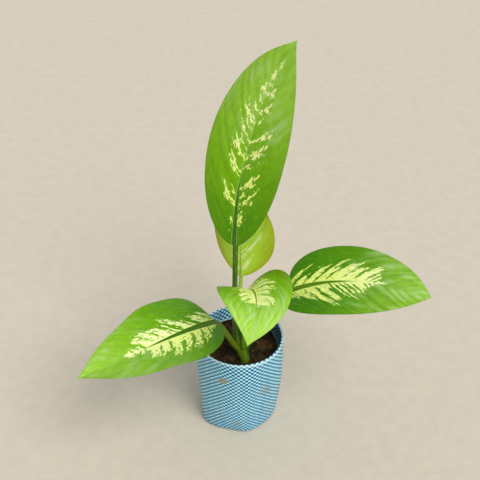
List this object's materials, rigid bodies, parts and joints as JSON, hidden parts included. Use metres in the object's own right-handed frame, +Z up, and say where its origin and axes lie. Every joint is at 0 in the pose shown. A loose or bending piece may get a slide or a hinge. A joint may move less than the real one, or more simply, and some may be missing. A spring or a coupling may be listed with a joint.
{
  "type": "potted dieffenbachia",
  "caption": "Young leafy house plant with cream-splashed oval leaves on bare stalks, standing in soil in a small grow bag of woven blue tape.",
  "frame": {"origin": "middle of the grow bag's flat underside, which rests on the surface below", "axes": "+Z up, from the bag's underside to the tip of the tallest leaf; -Y towards the front of the plant, where the front leaf arches; +X to the right seen from the front, towards the right leaf"},
  "size_m": [0.3678, 0.2137, 0.4755],
  "materials": {
    "bag_weave": "woven plastic tape, semi-gloss, lightly soiled",
    "soil": "matt, crumbly",
    "stem_tissue": "satin",
    "leaf_tissue": "satin, deep green with cream flecks along the veins",
    "young_leaf_tissue": "satin, yellow-green with cream flecks along the veins"
  },
  "bodies": {
    "root": {"grow_bag": "bag_weave", "potting_soil": "soil", "stem": "stem_tissue", "leaf_top": "leaf_tissue", "leaf_back": "young_leaf_tissue", "leaf_front": "young_leaf_tissue", "leaf_left": "leaf_tissue", "leaf_right": "leaf_tissue"}
  },
  "joints": []
}
